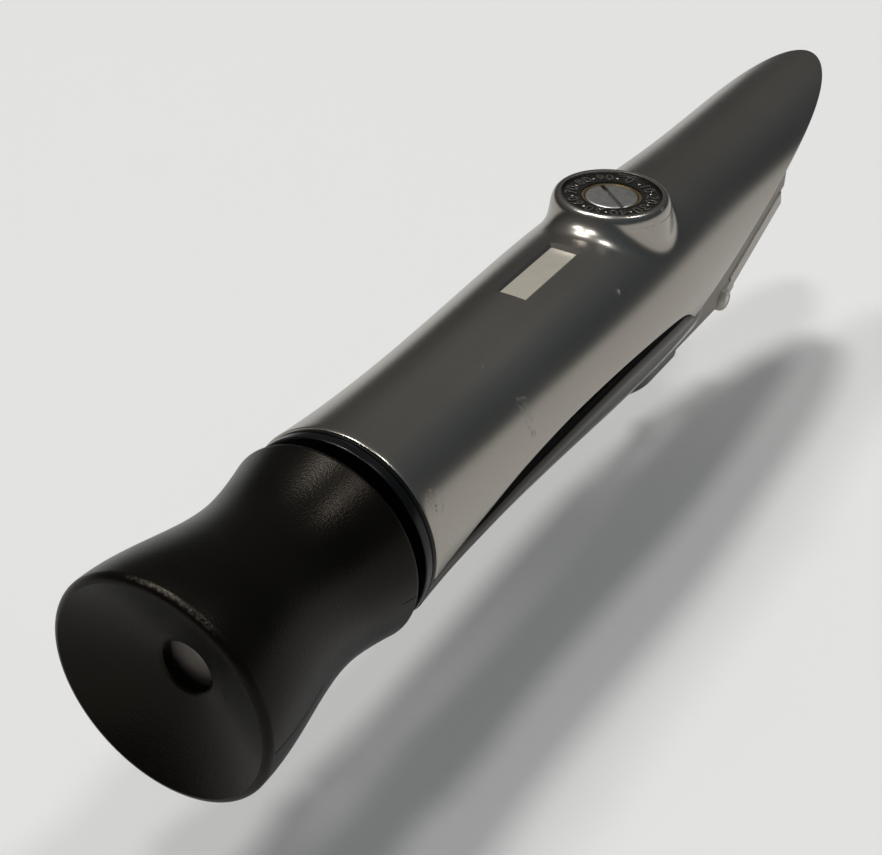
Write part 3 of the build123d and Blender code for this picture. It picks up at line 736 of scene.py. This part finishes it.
class RefractometerShell(bpy.types.Operator):
    """Adds the silver upper housing with its boss, arched edge and hooded nose"""

    bl_idname = "refractometer.add_upper_housing"
    bl_label = "Add Upper Housing"

    inner_end = 193.75  # where the inner wall runs out into the nose tip
    thinner = 168.0  # where the bore narrows
    across = 96  # faces across a cross-section
    hole = (98.2, 130.2)  # the stretch that the boss fills
    hole_columns = 16  # faces left on each side of it
    behind, beside = 60, 64  # rows behind it and along it

    def row(self, y, radius, edge, outward):
        """One cross-section from edge to edge, with its lower edges rounded by edge."""
        height = edge_height(y)
        reach = math.acos(min(1.0, height / radius))
        half = radius * math.sin(reach)
        edge = min(edge, 0.4 * half)
        inner_reach = max(0.0, reach - edge / radius)
        points = [(radius * math.sin(t), radius * math.cos(t)) for t in
                  (inner_reach * (2 * i / self.across - 1) for i in range(self.across + 1))]
        lip = rounded_edge(points[-1], (half, height), (half + (edge if outward else -edge), height))
        section = [(-x, z) for x, z in reversed(lip)] + points + lip
        return [(x, y, z) for x, z in section]

    def execute(self, context):
        sizes = context.scene.refractometer_sizes
        round_edge = sizes.shell_edge / MM
        tail = self.inner_end - 9.0 * np.linspace(1, 0, 19)[1:] ** 2
        tip = LENGTH - (LENGTH - self.inner_end) * np.linspace(1, 0, 29)[1:] ** 2
        stations = [
            *np.linspace(REAR + 0.4, self.hole[0], self.behind + 1),
            *np.linspace(*self.hole, self.beside + 1)[1:],
            *np.linspace(self.hole[1], self.inner_end - 9.0, 51)[1:], *tail,
        ]
        bore = [BORE if y < self.thinner else BORE - 0.25 for y in stations]
        rows = [self.row(y, r, 0.1, True) for y, r in zip(reversed(stations), reversed(bore))]
        inner_rows = len(rows)
        rear = [
            (REAR + 0.2, BORE, True), (REAR, BORE + 0.2, True),
            (REAR, 14.56, False), (REAR + 0.02, 14.61, False), (REAR + 0.07, 14.64, False),
        ]
        rows += [self.row(y, r, 0.1 if inner else round_edge, inner) for y, r, inner in rear]
        outer_first = len(rows)
        outer = [*stations, *tip]
        rows += [self.row(y, float(body_radius(y)), round_edge, False) for y in outer]
        width = len(rows[0])
        points = [p for row in rows for p in row]
        index = lambda j, i: j * width + i
        outer_hole = outer_first + self.behind, outer_first + self.behind + self.beside
        inner_hole = inner_rows - 1 - self.behind - self.beside, inner_rows - 1 - self.behind
        lip = (width - self.across) // 2
        first, last = lip + self.hole_columns, lip + self.across - self.hole_columns
        faces = []
        for j in range(len(rows) - 1):
            open_rows = outer_hole[0] <= j < outer_hole[1] or inner_hole[0] <= j < inner_hole[1]
            for i in range(width - 1):
                if open_rows and first <= i < last:
                    continue
                faces.append((index(j, i), index(j, i + 1), index(j + 1, i + 1), index(j + 1, i)))
        # The flat lower edge joins each inner row to the outer row at the same station.
        for side in (0, width - 1):
            for k in range(len(stations) - 1):
                j_in, j_out = inner_rows - 1 - k, outer_first + k
                joined = (j_in, j_in - 1, j_out + 1, j_out)
                faces.append(tuple(index(j, side) for j in joined))
            faces.append(tuple(index(j, side) for j in range(inner_rows - 1, outer_first + 1)))
        joint = outer_first + len(stations) - 1
        corners = ((joint, 0), (0, 0), (joint, width - 1), (joint + 1, width - 1), (joint + 1, 0))
        faces.append(tuple(index(*corner) for corner in corners))
        for j in range(joint + 1, len(rows) - 1):
            faces.append((index(j, 0), index(j, width - 1), index(j + 1, width - 1), index(j + 1, 0)))
        outer_ring = self.ring(outer_hole, first, last, index)
        inner_ring = self.ring((inner_hole[1], inner_hole[0]), first, last, index)
        self.boss(points, faces, outer_ring, inner_ring, sizes)
        shell = built("upper_housing_shell", points, faces)
        self.plate_pocket(shell)
        fitted(shell, "upper_housing_shell", "housing_metal", "housing", "upper_housing", smooth=35)
        return {"FINISHED"}

    @staticmethod
    def plate_pocket(shell):
        """Sinks the number plate's pocket and bevels its mouth from the level of the plate's face."""
        gap, above, corner, flare = 0.05, 20.0, 0.6, 5.0
        cut(shell, plate_block(gap, PLATE_SEAT, above, corner))
        mouth = plate_block(gap, PLATE_FACE, above, corner)
        for vertex in mouth.data.vertices:
            x, y, z = vertex.co.x / MM, vertex.co.y / MM + LENGTH / 2, vertex.co.z / MM - AXIS_HEIGHT
            if z > (PLATE_FACE + above) / 2:
                x += math.copysign(flare, x)
                y += math.copysign(flare, y - (PLATE_REAR + PLATE_FRONT) / 2)
            else:
                z = plate_face(y)
            vertex.co = at(x, y, z)
        cut(shell, mouth)

    @staticmethod
    def ring(hole_rows, first, last, index):
        """The points around the opening under the boss, once round."""
        low, high = hole_rows
        step = 1 if high > low else -1
        return (
            [index(low, i) for i in range(first, last)]
            + [index(j, last) for j in range(low, high, step)]
            + [index(high, i) for i in range(last, first, -1)]
            + [index(j, first) for j in range(high, low, -step)]
        )

    @staticmethod
    def boss(points, faces, outer_ring, inner_ring, sizes):
        """Fills the opening with the boss: blend, wall, rim, badge recess and bush bore."""
        blend, rim = sizes.boss_blend / MM, sizes.boss_edge / MM
        drop = 1.7 * rim
        root_r, root_z, top_r = 10.8, 8.0, 9.45
        taper = math.atan((root_r - top_r) / (BOSS_TOP - root_z))
        wall = lambda z: root_r - math.tan(taper) * (z - root_z)
        # The rim rounds over as a quarter ellipse, drop high and rim wide.
        start = math.atan(drop / rim * math.tan(taper))
        foot = BOSS_TOP - drop + drop * math.sin(start)
        centre_r = wall(foot) - rim * math.cos(start)
        wall_length = (foot - root_z) / math.cos(taper)
        arc_length = (rim + drop) * math.pi / 4
        whole = wall_length + arc_length

        def profile(u):
            """Point and outward angle on the boss's outline, u mm above its root."""
            if u <= wall_length:
                z = root_z + u * math.cos(taper)
                return wall(z), z, taper
            t = start + (math.pi / 2 - start) * min(1.0, (u - wall_length) / arc_length)
            angle = math.atan2(math.sin(t) / drop, math.cos(t) / rim)
            return centre_r + rim * math.cos(t), BOSS_TOP - drop + drop * math.sin(t), angle

        def ball(u, turn):
            radius, z, angle = profile(u)
            radius, z = radius + blend * math.cos(angle), z + blend * math.sin(angle)
            return radius * math.sin(turn), BOSS_Y + radius * math.cos(turn), z, angle

        def add(ring):
            start = len(points)
            points.extend(ring)
            return list(range(start, start + len(ring)))

        turns, centres, contact = [], [], []
        for p in outer_ring:
            x, y, z = points[p]
            turn = math.atan2(x, y - BOSS_Y)

            def sunk(u):
                bx, by, bz, _ = ball(u, turn)
                return math.hypot(bx, bz) < float(body_radius(by)) + blend

            touch = furthest(0.0, whole, sunk)
            turns.append(turn)
            contact.append(touch)
            centres.append(ball(touch, turn))
        rings = [outer_ring]
        angles = [math.atan2(c[0], c[2]) for c in centres]
        for t in np.linspace(0, 1, 13)[1:-1]:
            ring = []
            for p, centre, angle in zip(outer_ring, centres, angles):
                x, y, z = points[p]
                start = math.atan2(x, z)
                a, station = start + (angle - start) * t, y + (centre[1] - y) * t
                radius = float(body_radius(station))
                ring.append((radius * math.sin(a), station, radius * math.cos(a)))
            rings.append(add(ring))
        for t in np.linspace(0, 1, 13):
            ring = []
            for turn, centre, angle in zip(turns, centres, angles):
                up = centre[3]
                level = math.cos(up)
                first = Vector((-math.sin(angle), 0, -math.cos(angle)))
                last = Vector((-level * math.sin(turn), -level * math.cos(turn), -math.sin(up)))
                direction = first.slerp(last, float(t))
                ring.append(tuple(Vector(centre[:3]) + blend * direction))
            rings.append(add(ring))
        for t in np.linspace(0, 1, 15)[1:]:
            share = 1 - (1 - float(t)) ** 1.7
            ring = []
            for turn, low in zip(turns, contact):
                radius, z, _ = profile(low + (whole - low) * share)
                ring.append((radius * math.sin(turn), BOSS_Y + radius * math.cos(turn), z))
            rings.append(add(ring))
        recess_r, bush_r = 8.05, 5.15
        circles = [
            (recess_r + 0.15, BOSS_TOP), (recess_r + 0.04, BOSS_TOP - 0.04), (recess_r, BOSS_TOP - 0.15),
            (recess_r, DIAL_SEAT), (bush_r + 0.15, DIAL_SEAT), (bush_r, DIAL_SEAT - 0.15),
            (bush_r, 15.0), (bush_r, 13.2),
        ]
        for radius, z in circles:
            rings.append(add([(radius * math.sin(t), BOSS_Y + radius * math.cos(t), z) for t in turns]))
        mouth = [(bush_r * math.sin(t), BOSS_Y + bush_r * math.cos(t)) for t in turns]
        rings.append(add([(x, y, math.sqrt(BORE ** 2 - x * x)) for x, y in mouth]))
        for t in np.linspace(0, 1, 7)[1:-1]:
            ring = []
            for p, (x, y) in zip(inner_ring, mouth):
                ex, ey, ez = points[p]
                a = math.asin(x / BORE) * (1 - t) + math.atan2(ex, ez) * t
                ring.append((BORE * math.sin(a), y + (ey - y) * t, BORE * math.cos(a)))
            rings.append(add(ring))
        rings.append(inner_ring)
        count = len(outer_ring)
        for ring, following in zip(rings, rings[1:]):
            for k in range(count):
                n = (k + 1) % count
                faces.append((ring[k], ring[n], following[n], following[k]))


# Height of the lower cover's shoulder along the instrument, where it comes out to full width.
cover_shoulder = smooth_curve(
    (37.7, 48.0, 52.0, 56.0, 60.0, 68.0, 76.0, 84.0, 92.0, 100.0, 112.0, 122.6),
    (-8.6, -8.3, -7.9, -7.1, -6.2, -5.0, -4.0, -3.2, -2.6, -2.4, -2.7, -3.6),
)


class RefractometerCover(bpy.types.Operator):
    """Adds the glossy black lower cover with its finger pad"""

    bl_idname = "refractometer.add_lower_cover"
    bl_label = "Add Lower Cover"

    def inset(self, y, z, top, depth):
        """How far the cover stands back at height z, where it rounds in under the arched edge."""
        base, rise = float(cover_shoulder(y)), 2.6
        # It fades out where the arch comes down to within 0.8 mm of the shoulder.
        depth *= min(1.0, max(0.0, (top - base - 0.8) / 1.6))
        share = min(1.0, max(0.0, (z - base) / rise))
        return depth * (1 - math.sqrt(1 - share * share))

    @staticmethod
    def pad_reach(angle, y, start):
        """How far the finger pad reaches from the axis in one direction."""
        shoulder, half, bottom, root, edge = 113.4, 10.9, -15.4, -8.0, 3.2

        def inside(reach):
            x, z = reach * math.sin(angle), -reach * math.cos(angle)
            depth = half - (math.hypot(x, shoulder - y) if y < shoulder else abs(x))
            if depth <= 0:
                return False
            rise = edge - math.sqrt(max(0.0, edge ** 2 - max(0.0, edge - depth) ** 2))
            return bottom + rise < z < root

        return furthest(start, 20.0, inside) if inside(start) else 0.0

    def execute(self, context):
        across = 220
        depth = context.scene.refractometer_sizes.recess / MM
        front = 122.6
        stations = [*np.linspace(38.0, 100.0, 64), *np.linspace(100.0, front - 0.15, 58)[1:]]

        def section(y, outer, drop=0.0):
            """One cross-section of the outer face, smaller by drop, or of the bore."""
            top = edge_height(y)
            edge = 0.2 if outer else 0.1
            radius = float(body_radius(max(y, REAR + 0.4))) - drop if outer else BORE
            reach = math.pi - math.acos(max(-1.0, min(1.0, top / radius)))
            bend = reach - edge / radius
            ring = []
            for i in range(across + 1):
                a = bend * (2 * i / across - 1)
                far = radius
                if outer:
                    far -= self.inset(y, -radius * math.cos(a), top, depth)
                    pad, blend = self.pad_reach(a, y, radius - 1.0) - drop, 0.5
                    mix = max(blend - abs(far - pad), 0) / blend
                    far = max(far, pad) + mix * mix * blend / 4
                ring.append((far * math.sin(a), y, -far * math.cos(a)))
            half = radius * math.sin(reach)
            lip = rounded_edge(ring[-1], (half, y, top), (half + (-edge if outer else edge), y, top))
            return [(-x, yy, z) for x, yy, z in reversed(lip)] + ring + lip

        rows = [section(y, False) for y in (front, *reversed(stations), REAR)]
        rows.append(section(REAR, True, 0.3))
        rows += [section(y, True) for y in stations]
        rows.append(section(front, True, 0.1))
        width = len(rows[0])
        points = [p for row in rows for p in row]
        index = lambda j, i: (j % len(rows)) * width + i
        faces = [
            (index(j, i), index(j, i + 1), index(j + 1, i + 1), index(j + 1, i))
            for j in range(len(rows)) for i in range(width - 1)
        ]
        for side in (0, width - 1):
            for k in range(len(rows) // 2):
                a, b = k, len(rows) - 1 - k
                if b - a > 1:
                    faces.append((index(a, side), index(a + 1, side), index(b - 1, side), index(b, side)))
        cover = built("lower_cover_shell", points, faces)
        for y, z in ((42.5, -14.3), (BOSS_Y, -15.4)):
            seat = [(0, z - 1.0), (2.03, z - 1.0), (2.03, z)]
            hole = [(1.03, z + 1.2), (1.03, z + 5.0), (0, z + 5.0)]
            cut(cover, turned(seat + hole, upright=True, y=y, steps=48))
        fitted(cover, "lower_cover_moulding", "cover_plastic", "housing", "lower_cover", smooth=35)
        return {"FINISHED"}


class RefractometerPlate(bpy.types.Operator):
    """Adds the small pale plate let into the top"""

    bl_idname = "refractometer.add_number_plate"
    bl_label = "Add Number Plate"

    def execute(self, context):
        plate = plate_block(-0.03, PLATE_SEAT, PLATE_FACE, 0.45, edge=0.14)
        for vertex in plate.data.vertices:
            y, z = vertex.co.y / MM + LENGTH / 2, vertex.co.z / MM - AXIS_HEIGHT
            share = min(1.0, max(0.0, (z - PLATE_SEAT) / 0.4))
            vertex.co.z += (plate_face(y) - PLATE_FACE) * share * MM
        fitted(plate, "number_plate_enamel", "plate_enamel", "housing", "number_plate", smooth=40)
        return {"FINISHED"}


class RefractometerBadge(bpy.types.Operator):
    """Adds the black dial ring around the screw with raised marks and numbers"""

    bl_idname = "refractometer.add_badge"
    bl_label = "Add Badge Ring"

    circle = 6.36 * MM  # radius of the circle that the marks stand on

    def execute(self, context):
        bead = DIAL_FACE + 0.08
        hub = [(5.25, DIAL_SEAT), (5.25, 17.3), (4.86, 17.3), (4.86, DIAL_FACE)]
        inner_bead = [(4.92, bead), (5.02, bead), (5.08, DIAL_FACE)]
        outer_bead = [(7.72, DIAL_FACE), (7.78, bead), (7.92, bead), (8.0, DIAL_FACE)]
        outline = hub + inner_bead + outer_bead + [(8.0, DIAL_SEAT)]
        ring = turned(outline, upright=True, y=BOSS_Y, steps=160)
        fitted(ring, "badge_ring_enamel", "badge_enamel", "housing", "badge_ring", smooth=40)
        height = context.scene.refractometer_sizes.mark_height
        labels = context.scene.refractometer_sizes.labels
        marks = []
        for k in range(labels):
            turn = 2 * math.pi * k / labels
            marks += [self.number(10 * k, turn, height), self.dot(turn + math.pi / labels, height)]
        bpy.ops.object.select_all(action="DESELECT")
        for mark in marks:
            mark.select_set(True)
        bpy.context.view_layer.objects.active = marks[0]
        bpy.ops.object.join()
        joined = tidied(bpy.context.object, merge=1e-8)
        fitted(joined, "badge_ring_marks", "housing_metal", "housing", smooth=30)
        return {"FINISHED"}

    def number(self, value, turn, height):
        """A raised number, which stands upright seen from outside the ring."""
        bpy.ops.object.select_all(action="DESELECT")
        bpy.ops.object.text_add()
        text = bpy.context.object.data
        text.body = str(value)
        text.size, text.offset = 2.75 * MM, 0.035 * MM
        text.extrude, text.bevel_depth = height / 2, 0.015 * MM
        text.space_character = 1.12
        text.align_x, text.align_y = "CENTER", "CENTER"
        bpy.ops.object.convert(target="MESH")
        place = Matrix.Translation(at(0, BOSS_Y, DIAL_FACE)) @ Matrix.Rotation(-turn, 4, "Z")
        bpy.context.object.data.transform(place @ Matrix.Translation((0, self.circle, height / 2)))
        return bpy.context.object

    def dot(self, turn, height):
        """A raised dot between two numbers."""
        sunk, side, top = (DIAL_FACE + rise for rise in (-0.06, 0.6 * height / MM, height / MM))
        outline = [(0, sunk), (0.26, sunk), (0.26, side), (0.18, top), (0, top)]
        dot = turned(outline, upright=True, y=BOSS_Y, steps=16)
        dot.data.transform(about_boss(-turn) @ Matrix.Translation((0, self.circle, 0)))
        return dot


class RefractometerScrew(bpy.types.Operator):
    """Adds the slotted adjusting screw and the brass bush around its head"""

    bl_idname = "refractometer.add_adjusting_screw"
    bl_label = "Add Adjusting Screw"

    def execute(self, context):
        head_top, head_bottom = 17.3, 14.6
        top = [(0, head_top), (3.2, head_top), *arc((4.02, head_top - 0.28), 0.28, 90, 0, 5)]
        groove = [(4.3, 16.28), (3.51, 16.28), (3.51, 15.44), (4.3, 15.44)]
        under = [(4.3, head_bottom + 0.1), (4.2, head_bottom), (2.0, head_bottom), (2.0, 13.2), (1.6, 13.2)]
        shank = [(1.6, 12.6), (2.0, 12.6), (2.0, 12.2), (1.7, 12.2), (1.7, 7.2), (1.5, 7.0), (0, 7.0)]
        screw = turned(top + groove + under + shank, upright=True, y=BOSS_Y)
        half, deep, bearing = 0.38, 0.9, math.radians(49.1)
        slot = rounded_block((-half, BOSS_Y - 6, head_top - deep), (half, BOSS_Y + 6, head_top + 1), 0)
        slot.data.transform(about_boss(bearing))
        cut(screw, slot)
        fitted(screw, "adjusting_screw_slotted", "screw_steel", "adjuster", "adjusting_screw", smooth=35)
        cup = [(2.05, 14.5), (4.35, 14.5), (4.35, 17.16), (4.45, 17.27)]
        bush = turned(cup + [(5.12, 17.27), (5.12, 13.3), (2.05, 13.3)], upright=True, y=BOSS_Y)
        fitted(bush, "screw_bush_turning", "brass", "housing", "screw_bush", smooth=40)
        return {"FINISHED"}


class RefractometerNodes(bpy.types.Operator):
    """Gives every kept CAD node the finish of its slot"""

    bl_idname = "refractometer.finish_nodes"
    bl_label = "Finish Kept Nodes"

    def execute(self, context):
        for node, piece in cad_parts.items():
            if piece.hide_render:
                continue
            slot = piece.data.materials[0].name.split(".")[0]
            if slot not in FINISHES:
                raise RuntimeError(f"{node} has no finish for its slot {slot}")
            for place in range(len(piece.material_slots)):
                piece.material_slots[place].material = finish(slot)
        return {"FINISHED"}


# Studio lamps: elevation and azimuth from the nose towards the right, strength, and spread in degrees.
LAMPS = (
    (70, -60, 1.3, 9),
    (78, 200, 0.6, 8),
    (62, -110, 0.6, 10),
    (66, 40, 0.5, 9),
)


class RefractometerStageUp(bpy.types.Operator):
    """Adds the floor, the lamps, the room and the camera"""

    bl_idname = "refractometer.set_stage"
    bl_label = "Set Stage"

    def execute(self, context):
        stage = context.scene.refractometer_stage
        bpy.ops.object.select_all(action="DESELECT")
        bpy.ops.mesh.primitive_plane_add(size=40, location=(0, 0, -stage.clearance))
        floor = bpy.context.object
        floor.name = "floor"
        floor.data.materials.append(floor_paper())
        for n, (elevation, azimuth, strength, spread) in enumerate(LAMPS):
            bpy.ops.object.light_add(type="SUN")
            lamp = bpy.context.object
            lamp.name = f"lamp_{n}"
            lamp.data.energy = strength * stage.lamp
            lamp.data.angle = math.radians(spread)
            e, a = math.radians(elevation), math.radians(azimuth)
            towards = Vector((math.sin(a) * math.cos(e), math.cos(a) * math.cos(e), math.sin(e)))
            lamp.rotation_euler = towards.to_track_quat("Z", "Y").to_euler()
        self.room(context, stage)
        self.camera(context)
        context.scene.view_settings.view_transform = "Standard"
        return {"FINISHED"}

    @staticmethod
    def room(context, stage):
        """Pale sweep low down, rising to the right, under a dark ceiling that the camera doesn't see."""
        world = bpy.data.worlds.new("studio_room")
        context.scene.world = world
        world.use_nodes = True
        tree = world.node_tree
        tree.nodes.clear()
        look = add_node(tree, "ShaderNodeTexCoord").outputs["Generated"]
        split = add_node(tree, "ShaderNodeSeparateXYZ", {"Vector": look})
        right, height = split.outputs["X"], split.outputs["Z"]
        sweep = add_node(tree, "ShaderNodeMath", {0: right, 1: -0.13, 2: height}, operation="MULTIPLY_ADD")
        low = add_node(tree, "ShaderNodeMapRange", {"Value": sweep, 1: -0.01, 2: 0.06, 3: 1.0, 4: 0.0})
        glow = add_node(tree, "ShaderNodeMapRange", {"Value": height, 1: 0.15, 2: 0.55, 3: 0.35, 4: 1.0})
        side = add_node(tree, "ShaderNodeMapRange", {"Value": right, 1: -0.2, 2: 0.5})
        tint = add_node(
            tree, "ShaderNodeMix", {0: side, 6: colour("ffffff"), 7: colour("dff2ff")}, data_type="RGBA"
        )
        level = add_node(tree, "ShaderNodeMath", {0: glow, 1: stage.surround}, operation="MULTIPLY")
        ceiling = add_node(
            tree, "ShaderNodeVectorMath", {0: tint.outputs[2], "Scale": level.outputs[0]}, operation="SCALE"
        )
        # Metal and glass show the pale background wherever they mirror the low part of the room.
        path = add_node(tree, "ShaderNodeLightPath").outputs
        mirror = add_node(
            tree, "ShaderNodeMath",
            {0: path["Is Glossy Ray"], 1: path["Is Transmission Ray"]}, operation="ADD",
        )
        mirror = add_node(
            tree, "ShaderNodeMath", {0: mirror, 1: path["Is Diffuse Ray"]}, operation="ADD", use_clamp=True
        )
        pale = add_node(
            tree, "ShaderNodeMath", {0: mirror, 1: low, 2: path["Is Camera Ray"]}, operation="MULTIPLY_ADD",
            use_clamp=True,
        )
        shade = add_node(
            tree, "ShaderNodeMix", {0: pale, 6: ceiling.outputs[0], 7: colour("e5e5e3")}, data_type="RGBA"
        )
        back = add_node(tree, "ShaderNodeBackground", {"Color": shade, "Strength": 1.0})
        add_node(tree, "ShaderNodeOutputWorld", {"Surface": back})

    @staticmethod
    def camera(context):
        """Camera fitted to the photograph's viewing angle."""
        bpy.ops.object.camera_add(location=(0.095157, -0.200452, 0.144265))
        camera = bpy.context.object
        right = Vector((0.8533, 0.52085, 0.02447))
        down = Vector((0.30965, -0.46841, -0.82748))
        forward = Vector((-0.41953, 0.71366, -0.56097))
        turn = Matrix((right, -down, -forward)).transposed()
        camera.rotation_euler = turn.to_euler()
        camera.data.sensor_width = 36
        camera.data.lens = 64.858
        camera.data.shift_x = -0.00136
        camera.data.shift_y = 0.00309
        camera.data.clip_start = 0.005
        context.scene.camera = camera


class RefractometerPanel(bpy.types.Panel):
    """Lists the steps that dress the refractometer"""

    bl_idname = "VIEW3D_PT_refractometer"
    bl_label = "Refractometer"
    bl_space_type = "VIEW_3D"
    bl_region_type = "UI"
    bl_category = "Refractometer"

    def draw(self, context):
        for step in STEPS:
            self.layout.operator(step.bl_idname)
        for group in ("refractometer_sizes", "refractometer_finishes", "refractometer_stage"):
            settings = getattr(context.scene, group)
            for name in settings.__annotations__:
                self.layout.prop(settings, name)


GROUPS = {
    "refractometer_finishes": RefractometerFinishes,
    "refractometer_sizes": RefractometerSizes,
    "refractometer_stage": RefractometerStage,
}
STEPS = (
    RefractometerEyecup,
    RefractometerBarrel,
    RefractometerShell,
    RefractometerCover,
    RefractometerPlate,
    RefractometerBadge,
    RefractometerScrew,
    RefractometerNodes,
    RefractometerStageUp,
)


def register():
    for item in (*GROUPS.values(), *STEPS, RefractometerPanel):
        bpy.utils.register_class(item)
    for name, group in GROUPS.items():
        setattr(bpy.types.Scene, name, PointerProperty(type=group))


def unregister():
    for name in GROUPS:
        delattr(bpy.types.Scene, name)
    for item in (RefractometerPanel, *reversed(STEPS), *GROUPS.values()):
        bpy.utils.unregister_class(item)


def main():
    register()
    for step in STEPS:
        group, name = step.bl_idname.split(".")
        getattr(getattr(bpy.ops, group), name)()


if __name__ == "__main__":
    main()
